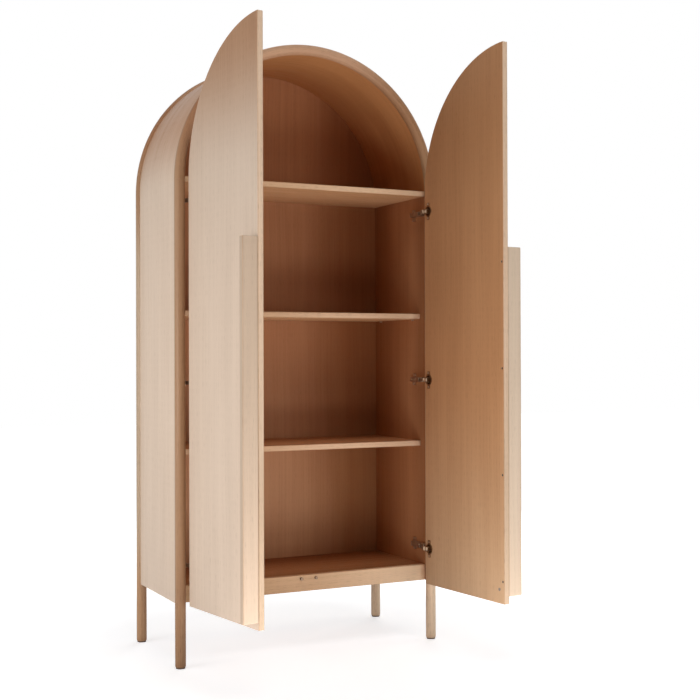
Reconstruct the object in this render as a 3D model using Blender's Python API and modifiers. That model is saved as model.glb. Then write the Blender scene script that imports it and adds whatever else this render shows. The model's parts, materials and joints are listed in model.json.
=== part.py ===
"""Arched two-door storage cabinet in pale oak, on four round posts, with both doors standing open.

Metres, +Z up, the doors face -Y. Two round-section portals, front and rear, carry a grooved-in shell of two
flat sides and a bent top. Inside are a base, one fixed shelf at the foot of the arch and two loose shelves.
Each door hangs on three concealed hinges and has a long fin handle screwed on along its free edge.
"""

import math

import bmesh
import bpy
from mathutils import Matrix

# Overall size and the round portals.
WIDTH = 0.965
DEPTH = 0.457
HEIGHT = 2.057
POST_DIA = 0.035
FOOT_EASE = 0.004

# Shell boards. FIT is the gap left at every joint that is glued, screwed or only touching.
FIT = 0.0003
PANEL_T = 0.016
GROOVE_DEPTH = 0.008
BACK_T = 0.006
EDGE_EASE = 0.001

# Base and shelves. The shelves are set from the base, from each other and from the foot of the arch.
BASE_Z = 0.2045
RAIL_H = 0.055
RAIL_T = 0.019
RAIL_SETBACK = 0.043
BOARD_T = 0.019
LOW_SHELF_RISE = 0.4405
MID_SHELF_DROP = 0.436
TOP_SHELF_RISE = 0.0155
TOP_SHELF_SETBACK = 0.036
LOOSE_SHELF_SETBACK = 0.070
SHELF_CLEAR = 0.001
PIN_DIA = 0.005
PIN_IN_PANEL = 0.008
PIN_OUT = 0.010
PIN_FROM_EDGE = 0.050

# Doors, with the angles that they stand open at.
DOOR_T = 0.019
DOOR_GAP = 0.005
DOOR_MEET = 0.003
DOOR_SETBACK = 0.015
DOOR_BELOW_BASE = 0.0025
LEFT_OPEN = 82.0
RIGHT_OPEN = 95.0
PIVOT_OUT = 0.014
PIVOT_FRONT = 0.011

# Fin handles and their screws.
FIN_T = 0.018
FIN_PROUD = 0.052
FIN_LENGTH = 1.129
FIN_RISE = 0.0235
FIN_SCREWS = 4
SCREW_END = 0.048
SCREW_DIA = 0.0045
SCREW_LENGTH = 0.040
SCREW_HEAD_DIA = 0.008
SCREW_HEAD_H = 0.0025
SCREW_SUNK = 0.001

# Concealed hinges: a cup in the door, an arm on the side panel and a cranked link between them.
HINGE_RISE = 0.0675
HINGE_DROP = 0.0645
CUP_DIA = 0.035
CUP_DEPTH = 0.0115
CUP_WALL = 0.002
CUP_INSET = 0.005
FLANGE_T = 0.0015
FLANGE_W = 0.014
FLANGE_H = 0.060
CHEEK_T = 0.002
CHEEK_FROM = 0.010
CHEEK_LENGTH = 0.016
CHEEK_RISE = 0.012
ARM_H = 0.017
ARM_LENGTH = 0.075
ARM_W = 0.010
ARM_CHEEK = 0.002
WING_H = 0.042
WING_LENGTH = 0.020
WING_T = 0.0035
LINK_PIN_DIA = 0.004
LINK_PIN_IN = 0.0135
LINK_PIN_BACK = 0.0385
LINK_REACH = 0.078
LINK_KNEE = 0.039
LINK_STEP = 0.0625
LINK_STEP_RUN = 0.0055
LINK_STEP_LEAN = 0.0023
LINK_T = 0.0045
LINK_CRANK = 0.008
LINK_CLOSED = -2.8
LINK_RATIO = 0.745

# Magnets standing out of the base rail and the strikes that they meet on the doors.
MAGNET_DIA = 0.010
MAGNET_IN = 0.006
STRIKE_T = 0.0015
CATCH_IN = 0.0255
CATCH_DROP = 0.012
CATCH_GAP = 0.0005

# How finely round shapes are divided.
ARCH_STEPS = 48
POST_STEPS = 32
RAIL_STEPS = 18
SMALL_STEPS = 16
FOOT_STEPS = 4
EYE_STEPS = 12

# Tolerances of the modelling: points to weld, flat sides to merge and corners sharp enough to ease.
WELD = 1e-6
FLAT_ANGLE = 1e-4
EASE_ANGLE = math.radians(40.0)

# Lines that follow from the sizes above.
OUT_R = WIDTH / 2
POST_R = POST_DIA / 2
AXIS_R = OUT_R - POST_R
SHELL_IN = AXIS_R - PANEL_T / 2
SPRING_Z = HEIGHT - OUT_R
POST_Y = DEPTH / 2 - POST_R
SHELL_Y = POST_Y - POST_R + GROOVE_DEPTH
BACK_Y = POST_Y - POST_R - FIT - BACK_T
BASE_TOP = BASE_Z + RAIL_H
LOW_SHELF_Z = BASE_TOP + LOW_SHELF_RISE
TOP_SHELF_Z = SPRING_Z + TOP_SHELF_RISE
MID_SHELF_Z = TOP_SHELF_Z - MID_SHELF_DROP
RAIL_Y = RAIL_SETBACK - DEPTH / 2
DOOR_R = OUT_R - POST_DIA - DOOR_GAP
DOOR_Y = DOOR_SETBACK - DEPTH / 2
PIVOT_X = DOOR_R + PIVOT_OUT
PIVOT_Y = DOOR_Y - PIVOT_FRONT
CUP_X = DOOR_R - CUP_INSET - CUP_DIA / 2
LINK_X = PIVOT_X - LINK_PIN_IN
LINK_Y = PIVOT_Y + LINK_PIN_BACK
SLOT_H = ARM_H / 2 - ARM_CHEEK
DOOR_BOTTOM_Z = BASE_Z - DOOR_BELOW_BASE
FIN_Z = DOOR_BOTTOM_Z + FIN_RISE
FREE_X = DOOR_MEET / 2
CATCH_X = FREE_X + CATCH_IN
CATCH_Z = BASE_TOP - CATCH_DROP
MAGNET_Y = DOOR_Y + DOOR_T + FIT + STRIKE_T + CATCH_GAP
HINGE_LOW_Z = BASE_TOP + HINGE_RISE
HINGE_HIGH_Z = SPRING_Z - HINGE_DROP
HINGE_MID_Z = (HINGE_LOW_Z + HINGE_HIGH_Z) / 2

for old in list(bpy.data.objects):
    bpy.data.objects.remove(old, do_unlink=True)

cabinet = bpy.data.collections.new("arched_cabinet")
cutters = bpy.data.collections.new("cutters")
bpy.context.scene.collection.children.link(cabinet)
bpy.context.scene.collection.children.link(cutters)


def material(name, colour, roughness, metallic=0.0):
    """A plain surface: linear colour, roughness and metallic."""
    made = bpy.data.materials.new(name)
    made.use_nodes = True
    shader = made.node_tree.nodes["Principled BSDF"]
    shader.inputs["Base Color"].default_value = (*colour, 1.0)
    shader.inputs["Roughness"].default_value = roughness
    shader.inputs["Metallic"].default_value = metallic
    return made


def pivot(name, x, y, parent=None):
    """An empty that pieces hang from, with a vertical axis through it."""
    empty = bpy.data.objects.new(name, None)
    empty.location = (x, y, 0.0)
    empty.parent = parent
    cabinet.objects.link(empty)
    return empty


def closed_mesh(mesh):
    """Welds the points that meet, makes each flat side one face and turns every face outwards."""
    work = bmesh.new()
    work.from_mesh(mesh)
    bmesh.ops.remove_doubles(work, verts=work.verts, dist=WELD)
    bmesh.ops.dissolve_limit(work, angle_limit=FLAT_ANGLE, verts=work.verts, edges=work.edges)
    bmesh.ops.recalc_face_normals(work, faces=work.faces)
    work.to_mesh(mesh)
    work.free()
    return mesh


def place(name, mesh, at, parent, surface=None):
    """Puts a mesh in the scene: a piece if it has a surface, otherwise a cutter."""
    made = bpy.data.objects.new(name, mesh)
    made.location = at
    made.parent = parent
    if surface is None:
        cutters.objects.link(made)
        made.hide_render = True
        made.display_type = "WIRE"
    else:
        cabinet.objects.link(made)
        mesh.materials.append(surface)
    return made


def box(name, low, high, parent, surface=None):
    """A board or block between two opposite corners."""
    size = [b - a for a, b in zip(low, high)]
    centre = [(a + b) / 2 for a, b in zip(low, high)]
    work = bmesh.new()
    bmesh.ops.create_cube(work, size=1.0, matrix=Matrix.Diagonal((*size, 1.0)))
    mesh = bpy.data.meshes.new(name)
    work.to_mesh(mesh)
    work.free()
    return place(name, mesh, centre, parent, surface)


def outline(name, points, low_y, high_y, parent, surface=None):
    """A flat outline in x and z, filled, with its thickness along y."""
    curve = bpy.data.curves.new(name, "CURVE")
    curve.dimensions = "2D"
    curve.fill_mode = "BOTH"
    curve.extrude = (high_y - low_y) / 2
    spline = curve.splines.new("POLY")
    spline.points.add(len(points) - 1)
    for point, (x, z) in zip(spline.points, points):
        point.co = (x, z, 0.0, 1.0)
    spline.use_cyclic_u = True
    draft = bpy.data.objects.new(name, curve)
    mesh = bpy.data.meshes.new_from_object(draft)
    bpy.data.objects.remove(draft)
    mesh.transform(Matrix.Rotation(math.pi / 2, 4, "X"))
    return place(name, closed_mesh(mesh), (0.0, (low_y + high_y) / 2, 0.0), parent, surface)


def turned(name, profile, steps, at, parent, surface=None, turn=(0.0, 0.0, 0.0)):
    """A round piece: a profile of radius and height, top to bottom, turned about its own axis."""
    mesh = bpy.data.meshes.new(name)
    points = [(r, 0.0, z) for r, z in profile]
    edges = [(i, i + 1) for i in range(len(points) - 1)]
    mesh.from_pydata(points, edges, [])
    made = place(name, mesh, at, parent, surface)
    made.rotation_euler = turn
    screw = made.modifiers.new("turn", "SCREW")
    screw.steps = steps
    screw.render_steps = steps
    screw.use_merge_vertices = True
    screw.merge_threshold = 10 * WELD
    return made


def rod_profile(radius, low, high):
    """Profile of a plain cylinder."""
    return [(0.0, high), (radius, high), (radius, low), (0.0, low)]


def combine(piece, others, operation):
    """Cuts a set of shapes from a piece, or joins them on, in one go."""
    group = bpy.data.collections.new(f"{piece.name}_{operation.lower()}")
    cutters.children.link(group)
    for other in others:
        group.objects.link(other)
    step = piece.modifiers.new(group.name, "BOOLEAN")
    step.operation = operation
    step.solver = "EXACT"
    step.operand_type = "COLLECTION"
    step.collection = group


def ease(piece, width=EDGE_EASE):
    """Takes the sharpness off the edges of a board."""
    step = piece.modifiers.new("ease", "BEVEL")
    step.width = width
    step.segments = 1
    step.limit_method = "ANGLE"
    step.angle_limit = EASE_ANGLE


def arc(radius, start, end, steps):
    """Points round the centre of the arch, between two angles in degrees from +x."""
    turns = [math.radians(start + (end - start) * i / steps) for i in range(steps + 1)]
    return [(radius * math.cos(t), SPRING_Z + radius * math.sin(t)) for t in turns]


def arch_band(inner, outer):
    """Outline of the half ring between two radii of the arch."""
    return arc(outer, 0.0, 180.0, ARCH_STEPS) + arc(inner, 180.0, 0.0, ARCH_STEPS)


def on_door(x, side_sign):
    """Sideways place on a closed door, counted from its axis."""
    return side_sign * (x - PIVOT_X)


oak = material("oak_veneer", (0.62, 0.47, 0.34), 0.45)
oak_solid = material("oak_solid", (0.58, 0.42, 0.29), 0.42)
oak_inner = material("oak_inner", (0.50, 0.34, 0.22), 0.50)
oak_back = material("oak_back", (0.46, 0.31, 0.20), 0.55)
oak_fin = material("oak_fin", (0.66, 0.49, 0.35), 0.42)
nickel = material("nickel_steel", (0.62, 0.61, 0.59), 0.30, 1.0)
link_steel = material("link_steel", (0.50, 0.50, 0.49), 0.35, 1.0)
screw_steel = material("dark_screw_steel", (0.16, 0.13, 0.11), 0.40, 1.0)
magnet_steel = material("magnet_steel", (0.40, 0.40, 0.41), 0.30, 1.0)

root = pivot("cabinet_root", 0.0, 0.0)

# Four posts, turned round with eased feet. Each has a groove along it for the edge of a side panel.
ease_turns = [math.pi / 2 * i / FOOT_STEPS for i in range(FOOT_STEPS + 1)]
foot = [(POST_R - FOOT_EASE * (1 - math.cos(t)), FOOT_EASE * (1 - math.sin(t))) for t in ease_turns]
post_profile = [(0.0, SPRING_Z - FIT), (POST_R, SPRING_Z - FIT)] + foot + [(0.0, 0.0)]
for end, end_sign in (("front", -1), ("rear", 1)):
    for side, side_sign in (("left", -1), ("right", 1)):
        at = (side_sign * AXIS_R, end_sign * POST_Y, 0.0)
        post = turned(f"post_{end}_{side}", post_profile, POST_STEPS, at, root, oak_solid)
        groove_ys = sorted((end_sign * (SHELL_Y + FIT), end_sign * (POST_Y - POST_DIA)))
        half = PANEL_T / 2 + FIT
        low = (side_sign * AXIS_R - half, groove_ys[0], BASE_Z - FIT)
        high = (side_sign * AXIS_R + half, groove_ys[1], HEIGHT)
        combine(post, [box(f"post_{end}_{side}_groove", low, high, root)], "DIFFERENCE")

# Two bent arch rails that stand on the posts and carry the same groove over the top.
groove_half = PANEL_T / 2 + FIT
groove_floor = POST_R - GROOVE_DEPTH - FIT
lip = math.asin(groove_half / POST_R)
turns = [lip + (2 * math.pi - 2 * lip) * i / RAIL_STEPS for i in range(RAIL_STEPS + 1)]
section = [(POST_R * math.sin(t), POST_R * math.cos(t)) for t in turns]
section += [(-groove_half, groove_floor), (groove_half, groove_floor)]
for end, end_sign in (("front", -1), ("rear", 1)):
    work = bmesh.new()
    ring = [work.verts.new((AXIS_R + x, -end_sign * inward, SPRING_Z)) for x, inward in section]
    start = work.faces.new(ring)
    centre = (0.0, 0.0, SPRING_Z)
    geometry = [start, *start.edges, *start.verts]
    bmesh.ops.spin(work, geom=geometry, cent=centre, axis=(0, -1, 0), angle=math.pi, steps=ARCH_STEPS)
    mesh = bpy.data.meshes.new(f"arch_{end}")
    work.to_mesh(mesh)
    work.free()
    place(f"arch_{end}", closed_mesh(mesh), (0.0, end_sign * POST_Y, 0.0), root, oak_solid)

# Shell: two side panels and a bent top, all let into the grooves.
panels = {}
panel_cuts = {"left": [], "right": []}
for side, side_sign in (("left", -1), ("right", 1)):
    low = (side_sign * AXIS_R - PANEL_T / 2, -SHELL_Y, BASE_Z)
    high = (side_sign * AXIS_R + PANEL_T / 2, SHELL_Y, SPRING_Z - FIT)
    panels[side] = box(f"side_panel_{side}", low, high, root, oak)
outline("top_panel", arch_band(SHELL_IN, AXIS_R + PANEL_T / 2), -SHELL_Y, SHELL_Y, root, oak)

# Back board inside the rear of the shell, up against the rear portal.
back_r = SHELL_IN - FIT
back_outline = [(-back_r, BASE_Z), (back_r, BASE_Z)] + arc(back_r, 0.0, 180.0, ARCH_STEPS)
outline("back_panel", back_outline, BACK_Y, BACK_Y + BACK_T, root, oak_back)

# Base: a deep front rail, the bottom board behind it and a rear rail under the board.
base_x = SHELL_IN - FIT
base_back = BACK_Y - FIT
rail_back = RAIL_Y + RAIL_T
rail_low = (-base_x, RAIL_Y, BASE_Z)
front_rail = box("base_rail_front", rail_low, (base_x, rail_back, BASE_TOP), root, oak_inner)
ease(front_rail)
board_low = (-base_x, rail_back + FIT, BASE_TOP - BOARD_T)
box("bottom_board", board_low, (base_x, base_back, BASE_TOP), root, oak_inner)
rear_low = (-base_x, base_back - RAIL_T, BASE_Z)
box("base_rail_rear", rear_low, (base_x, base_back, BASE_TOP - BOARD_T - FIT), root, oak_inner)

# Fixed top shelf at the foot of the arch, and two loose shelves on pins.
over_spring = max(TOP_SHELF_Z - SPRING_Z, 0.0)
top_x = math.sqrt(SHELL_IN**2 - over_spring**2) - 2 * FIT
top_low = (-top_x, TOP_SHELF_SETBACK - DEPTH / 2, TOP_SHELF_Z - BOARD_T)
ease(box("shelf_top", top_low, (top_x, base_back, TOP_SHELF_Z), root, oak_inner))
loose_x = SHELL_IN - SHELF_CLEAR
loose_y = LOOSE_SHELF_SETBACK - DEPTH / 2
loose_back = BACK_Y - SHELF_CLEAR
for name, top in (("low", LOW_SHELF_Z), ("mid", MID_SHELF_Z)):
    loose_low = (-loose_x, loose_y, top - BOARD_T)
    ease(box(f"shelf_{name}", loose_low, (loose_x, loose_back, top), root, oak_inner))
    pin_z = top - BOARD_T - FIT - PIN_DIA / 2
    for side, side_sign in (("left", -1), ("right", 1)):
        for end, pin_y in (("front", loose_y + PIN_FROM_EDGE), ("rear", loose_back - PIN_FROM_EDGE)):
            label = f"shelf_pin_{name}_{side}_{end}"
            at = (side_sign * SHELL_IN, pin_y, pin_z)
            across = (0.0, side_sign * math.pi / 2, 0.0)
            pin = rod_profile(PIN_DIA / 2, -PIN_OUT, PIN_IN_PANEL)
            turned(label, pin, SMALL_STEPS, at, root, nickel, across)
            hole = rod_profile(PIN_DIA / 2 + FIT, -PIN_OUT, PIN_IN_PANEL + FIT)
            panel_cuts[side].append(turned(f"{label}_hole", hole, SMALL_STEPS, at, root, None, across))
for side, cuts in panel_cuts.items():
    combine(panels[side], cuts, "DIFFERENCE")

# Doors, each hung on its own axis with its cups, fin, screws and strike. Built closed, then turned open.
front = PIVOT_FRONT
inner = PIVOT_FRONT + DOOR_T
facing = (-math.pi / 2, 0.0, 0.0)
apex = math.degrees(math.acos(FREE_X / DOOR_R))
door_outline = [(FREE_X, DOOR_BOTTOM_Z), (DOOR_R, DOOR_BOTTOM_Z)]
door_outline += arc(DOOR_R, 0.0, apex, ARCH_STEPS // 2)
magnet_holes = []
for side, side_sign, opened in (("left", -1, LEFT_OPEN), ("right", 1, RIGHT_OPEN)):
    axis = pivot(f"door_{side}_axis", side_sign * PIVOT_X, PIVOT_Y, root)
    link_axis = pivot(f"hinge_link_{side}_axis", side_sign * LINK_X, LINK_Y, root)
    shape = [(on_door(x, side_sign), z) for x, z in door_outline]
    door = outline(f"door_{side}", shape, front, inner, axis, oak)
    ease(door)

    # Fin handle on the outer face, flush with the free edge, and the screws that hold it from inside.
    fin_ends = sorted((on_door(FREE_X, side_sign), on_door(FREE_X + FIN_T, side_sign)))
    fin_low = (fin_ends[0], front - FIT - FIN_PROUD, FIN_Z)
    fin = box(f"fin_{side}", fin_low, (fin_ends[1], front - FIT, FIN_Z + FIN_LENGTH), axis, oak_fin)
    ease(fin)
    head_r = SCREW_HEAD_DIA / 2
    shank_r = SCREW_DIA / 2
    screw_profile = [(0.0, 0.0), (head_r, 0.0), (head_r, -SCREW_HEAD_H), (shank_r, -SCREW_HEAD_H)]
    screw_profile += [(shank_r, -SCREW_LENGTH), (0.0, -SCREW_LENGTH)]
    bore_r = head_r + FIT
    hole_r = shank_r + FIT
    bore = [(0.0, DOOR_T), (bore_r, DOOR_T), (bore_r, -SCREW_HEAD_H - FIT)]
    bore += [(hole_r, -SCREW_HEAD_H - FIT), (hole_r, -SCREW_LENGTH - FIT), (0.0, -SCREW_LENGTH - FIT)]
    screw_x = on_door(FREE_X + FIN_T / 2, side_sign)
    screw_holes = []
    pitch = (FIN_LENGTH - 2 * SCREW_END) / (FIN_SCREWS - 1)
    for number in range(FIN_SCREWS):
        at = (screw_x, inner - SCREW_SUNK, FIN_Z + SCREW_END + number * pitch)
        label = f"fin_screw_{side}_{number + 1}"
        turned(label, screw_profile, SMALL_STEPS, at, axis, screw_steel, facing)
        screw_holes.append(turned(f"{label}_hole", bore, SMALL_STEPS, at, axis, None, facing))
    combine(fin, screw_holes, "DIFFERENCE")

    # Strike disc on the inner face, and the magnet that it meets in the base rail.
    at = (on_door(CATCH_X, side_sign), inner + FIT, CATCH_Z)
    strike = rod_profile(MAGNET_DIA / 2, 0.0, STRIKE_T)
    turned(f"strike_{side}", strike, SMALL_STEPS, at, axis, nickel, facing)
    at = (side_sign * CATCH_X, RAIL_Y, CATCH_Z)
    magnet = rod_profile(MAGNET_DIA / 2, MAGNET_Y - RAIL_Y, MAGNET_IN)
    turned(f"magnet_{side}", magnet, SMALL_STEPS, at, root, magnet_steel, facing)
    hole = rod_profile(MAGNET_DIA / 2 + FIT, -RAIL_T, MAGNET_IN + FIT)
    magnet_holes.append(turned(f"magnet_{side}_hole", hole, SMALL_STEPS, at, root, None, facing))

    cup_bores = []
    for number, height in enumerate((HINGE_LOW_Z, HINGE_MID_Z, HINGE_HIGH_Z), 1):
        # Cup let into the door: a flange on the inner face, and two cheeks that the link's foot runs between.
        label = f"hinge_cup_{side}_{number}"
        at = (on_door(CUP_X, side_sign), inner, height)
        body_r = CUP_DIA / 2 - FIT
        rim_r = CUP_DIA / 2 + FLANGE_T
        open_r = body_r - CUP_WALL
        floor = CUP_WALL - CUP_DEPTH
        cup_profile = [(0.0, floor), (open_r, floor), (open_r, FLANGE_T), (rim_r, FLANGE_T), (rim_r, FIT)]
        cup_profile += [(body_r, FIT), (body_r, -CUP_DEPTH), (0.0, -CUP_DEPTH)]
        cup = turned(label, cup_profile, SMALL_STEPS, at, axis, nickel, facing)
        bore = rod_profile(CUP_DIA / 2, -CUP_DEPTH - FIT, CUP_DEPTH)
        cup_bores.append(turned(f"{label}_bore", bore, SMALL_STEPS, at, axis, None, facing))
        cheek_edge = DOOR_R - CHEEK_FROM
        cheek_xs = sorted(on_door(x, side_sign) for x in (cheek_edge, cheek_edge - CHEEK_LENGTH))
        added = []
        for name, sign in (("upper", 1), ("lower", -1)):
            ends = sorted((height + sign * (open_r + CUP_WALL / 2), height + sign * FLANGE_H / 2))
            low = (at[0] - FLANGE_W / 2, inner + FIT, ends[0])
            high = (at[0] + FLANGE_W / 2, inner + FLANGE_T, ends[1])
            added.append(box(f"{label}_{name}_wing", low, high, axis))
            ends = sorted((height + sign * SLOT_H, height + sign * (SLOT_H + CHEEK_T)))
            low = (cheek_xs[0], inner + floor - CUP_WALL / 2, ends[0])
            high = (cheek_xs[1], inner + CHEEK_RISE, ends[1])
            added.append(box(f"{label}_{name}_cheek", low, high, axis))
        combine(cup, added, "UNION")

        # Arm on the side panel: a wing plate, a bar and two cheeks that hold the pin of the link.
        label = f"hinge_arm_{side}_{number}"
        wall = SHELL_IN - FIT
        tip_y = LINK_Y - ARM_W / 2
        bar_end = tip_y + ARM_LENGTH
        bar_xs = sorted((side_sign * wall, side_sign * (LINK_X - ARM_W / 2)))
        arm_low = (bar_xs[0], tip_y, height - ARM_H / 2)
        arm = box(label, arm_low, (bar_xs[1], bar_end, height + ARM_H / 2), root, nickel)
        wing_xs = sorted((side_sign * wall, side_sign * (wall - WING_T)))
        wing_low = (wing_xs[0], bar_end - WING_LENGTH / 2, height - WING_H / 2)
        wing_high = (wing_xs[1], bar_end + WING_LENGTH / 2, height + WING_H / 2)
        wing = box(f"{label}_wing", wing_low, wing_high, root)
        slot_xs = sorted((side_sign * (LINK_X + ARM_W / 2), side_sign * (LINK_X - ARM_W)))
        slot_low = (slot_xs[0], tip_y - ARM_W, height - SLOT_H)
        slot_high = (slot_xs[1], LINK_Y + ARM_W, height + SLOT_H)
        combine(arm, [box(f"{label}_slot", slot_low, slot_high, root)], "DIFFERENCE")
        at = (side_sign * LINK_X, LINK_Y, height)
        pin_h = SLOT_H + ARM_CHEEK / 2
        pin = rod_profile(LINK_PIN_DIA / 2, -pin_h, pin_h)
        combine(arm, [wing, turned(f"{label}_pin", pin, SMALL_STEPS, at, root)], "UNION")

        # Cranked link: an eye on the pin, a bar that clears the edge of the door and a foot over the cup.
        label = f"hinge_link_{side}_{number}"
        link_h = SLOT_H - FIT
        eye_r = LINK_PIN_DIA / 2 + LINK_T / 2
        half = LINK_T / 2
        foot_x = LINK_STEP + LINK_STEP_RUN
        under = [(0.0, -eye_r), (LINK_KNEE, LINK_CRANK - half), (LINK_STEP, LINK_CRANK - half)]
        under += [(foot_x, -half), (LINK_REACH, -half)]
        over = [(LINK_REACH, half), (foot_x + LINK_STEP_LEAN, half)]
        over += [(LINK_STEP + LINK_STEP_LEAN, LINK_CRANK + half), (LINK_KNEE, LINK_CRANK + half)]
        over += [(0.0, eye_r)]
        turns = [math.pi * i / EYE_STEPS for i in range(1, EYE_STEPS)]
        eye = [(-eye_r * math.sin(t), eye_r * math.cos(t)) for t in turns]
        shape = [(-side_sign * x, y) for x, y in under + over + eye]
        link = outline(label, shape, -link_h, link_h, link_axis, link_steel)
        link.rotation_euler = (-math.pi / 2, 0.0, 0.0)
        link.location = (0.0, 0.0, height)
        hole = rod_profile(LINK_PIN_DIA / 2 + FIT, -ARM_H, ARM_H)
        link_hole = turned(f"{label}_hole", hole, SMALL_STEPS, (0.0, 0.0, height), link_axis)
        combine(link, [link_hole], "DIFFERENCE")

    combine(door, screw_holes + cup_bores, "DIFFERENCE")
    axis.rotation_euler = (0.0, 0.0, side_sign * math.radians(opened))
    link_turn = LINK_RATIO * opened - LINK_CLOSED
    link_axis.rotation_euler = (0.0, 0.0, side_sign * math.radians(link_turn))

combine(front_rail, magnet_holes, "DIFFERENCE")

# The frame of the whole piece: floor at zero, centred on its box with the doors open.
bpy.context.view_layer.update()
graph = bpy.context.evaluated_depsgraph_get()
spans = []
for piece in cabinet.objects:
    if piece.type == "MESH":
        whole = piece.evaluated_get(graph)
        spans += [whole.matrix_world @ point.co for point in whole.data.vertices]
middle = [(min(p[i] for p in spans) + max(p[i] for p in spans)) / 2 for i in (0, 1)]
root.location = (-middle[0], -middle[1], 0.0)
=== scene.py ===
import json
import math

import bpy
import numpy as np
from mathutils import Matrix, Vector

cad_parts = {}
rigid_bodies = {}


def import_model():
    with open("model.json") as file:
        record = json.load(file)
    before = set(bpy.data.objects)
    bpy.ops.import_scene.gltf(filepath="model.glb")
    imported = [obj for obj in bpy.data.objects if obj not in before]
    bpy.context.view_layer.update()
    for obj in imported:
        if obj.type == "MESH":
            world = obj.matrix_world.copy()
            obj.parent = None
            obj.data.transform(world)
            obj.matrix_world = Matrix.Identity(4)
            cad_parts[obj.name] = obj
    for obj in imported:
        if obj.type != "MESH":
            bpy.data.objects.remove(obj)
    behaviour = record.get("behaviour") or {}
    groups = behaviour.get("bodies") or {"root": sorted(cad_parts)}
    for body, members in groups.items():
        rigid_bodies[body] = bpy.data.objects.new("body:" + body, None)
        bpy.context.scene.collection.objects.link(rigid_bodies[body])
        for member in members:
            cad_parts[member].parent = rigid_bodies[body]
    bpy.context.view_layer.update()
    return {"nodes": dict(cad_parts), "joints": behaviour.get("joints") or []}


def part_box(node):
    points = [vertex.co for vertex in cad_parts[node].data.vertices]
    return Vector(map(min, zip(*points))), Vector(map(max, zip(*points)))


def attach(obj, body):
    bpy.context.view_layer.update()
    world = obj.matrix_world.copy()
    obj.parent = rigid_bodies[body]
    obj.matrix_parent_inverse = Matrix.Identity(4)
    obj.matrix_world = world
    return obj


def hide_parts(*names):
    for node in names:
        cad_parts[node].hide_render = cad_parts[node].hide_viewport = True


# The startup scene's own cube, lamp and camera are cleared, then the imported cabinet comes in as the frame.
for leftover in list(bpy.data.objects):
    bpy.data.objects.remove(leftover, do_unlink=True)
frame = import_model()


# Posts.
# Four round legs of solid oak, turned to 35 mm, that run from the floor to the foot of the arch.
# Their feet are eased so that they don't splinter. The edge of a side panel runs into each, where the real
# post has a groove that is not cut here.
sharp_edge = math.radians(40)


def extent(node):
    """The lowest and the highest corner of a CAD node at rest."""
    low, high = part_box(node)
    return np.array(low), np.array(high)


def skin(name, rings, uv, ends_uv, finishes, quad_finish=0, end_finish=(0, 0), wear_and_shade=None):
    """A closed skin over a grid of points: each ring is joined to the next by quads all the way round, with
    one flat face over the first ring and one over the last. uv gives the lower and the upper edge of each
    strip between two rings, in metres along and across the grain. The faces are turned so that the volume
    that they enclose, a sixth of the sum of their corners' triple products, comes out positive."""
    count, around = rings.shape[:2]
    points = rings.reshape(-1, 3)
    index = np.arange(count * around).reshape(count, around)
    after = np.roll(index, -1, axis=1)
    quads = np.stack([index[:-1], after[:-1], after[1:], index[1:]], axis=-1).reshape(-1, 4)
    lower, upper = uv[:, 0], uv[:, 1]
    quad_uv = np.stack([lower[:, :-1], lower[:, 1:], upper[:, 1:], upper[:, :-1]], axis=2).reshape(-1, 4, 2)
    first, last = index[0][::-1], index[-1]
    first_uv, last_uv = ends_uv[0][::-1], ends_uv[1]
    a, b, c, d = points[quads].transpose(1, 0, 2)
    volume = np.sum(a * np.cross(b, c)) + np.sum(a * np.cross(c, d))
    for end in (points[first], points[last]):
        volume += np.sum(end[0] * np.cross(end[1:-1], end[2:]))
    if volume < 0:
        quads, quad_uv = quads[:, ::-1], quad_uv[:, ::-1]
        first, last, first_uv, last_uv = first[::-1], last[::-1], first_uv[::-1], last_uv[::-1]
    mesh = bpy.data.meshes.new(name)
    mesh.from_pydata(points.tolist(), [], quads.tolist() + [first.tolist(), last.tolist()])
    layer = mesh.uv_layers.new(name="grain")
    layer.data.foreach_set("uv", np.concatenate([quad_uv.reshape(-1, 2), first_uv, last_uv]).ravel())
    # Each point's share of the darker tone of eased edges, which is partly wear and partly painted shade.
    worn_and_shaded = mesh.attributes.new("wear_and_shade", "FLOAT", "POINT")
    worn_and_shaded.data.foreach_set("value", np.zeros(len(points)) if wear_and_shade is None else wear_and_shade.ravel())
    for finish in finishes:
        mesh.materials.append(finish)
    chosen = np.broadcast_to(quad_finish, (count - 1, around)).ravel()
    mesh.polygons.foreach_set("material_index", np.concatenate([chosen, end_finish]).astype(np.int32))
    mesh.polygons.foreach_set("use_smooth", np.ones(len(mesh.polygons), bool))
    mesh.set_sharp_from_angle(angle=sharp_edge)
    piece = bpy.data.objects.new(name, mesh)
    bpy.context.scene.collection.objects.link(piece)
    return piece


def strips(uv):
    """Places on the grain, ring by ring, as the lower and the upper edge of each strip between two rings."""
    return np.stack([uv[:-1], uv[1:]], axis=1)


def wired(tree, kind, inputs, **settings):
    """A shader node with its settings made, and each input set to a value or joined to another's output."""
    made = tree.nodes.new(kind)
    for key, value in settings.items():
        setattr(made, key, value)
    for key, value in inputs.items():
        if isinstance(value, bpy.types.NodeSocket):
            tree.links.new(value, made.inputs[key])
        else:
            made.inputs[key].default_value = value
    return made


def opened_group(name, inputs, outputs):
    """An empty node group with named inputs and outputs, with what it is given and what it puts out."""
    group = bpy.data.node_groups.new(name, "ShaderNodeTree")
    for label, kind in inputs:
        group.interface.new_socket(label, in_out="INPUT", socket_type=f"NodeSocket{kind}")
    for label, kind in outputs:
        group.interface.new_socket(label, in_out="OUTPUT", socket_type=f"NodeSocket{kind}")
    return group, group.nodes.new("NodeGroupInput").outputs, group.nodes.new("NodeGroupOutput").inputs


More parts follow.
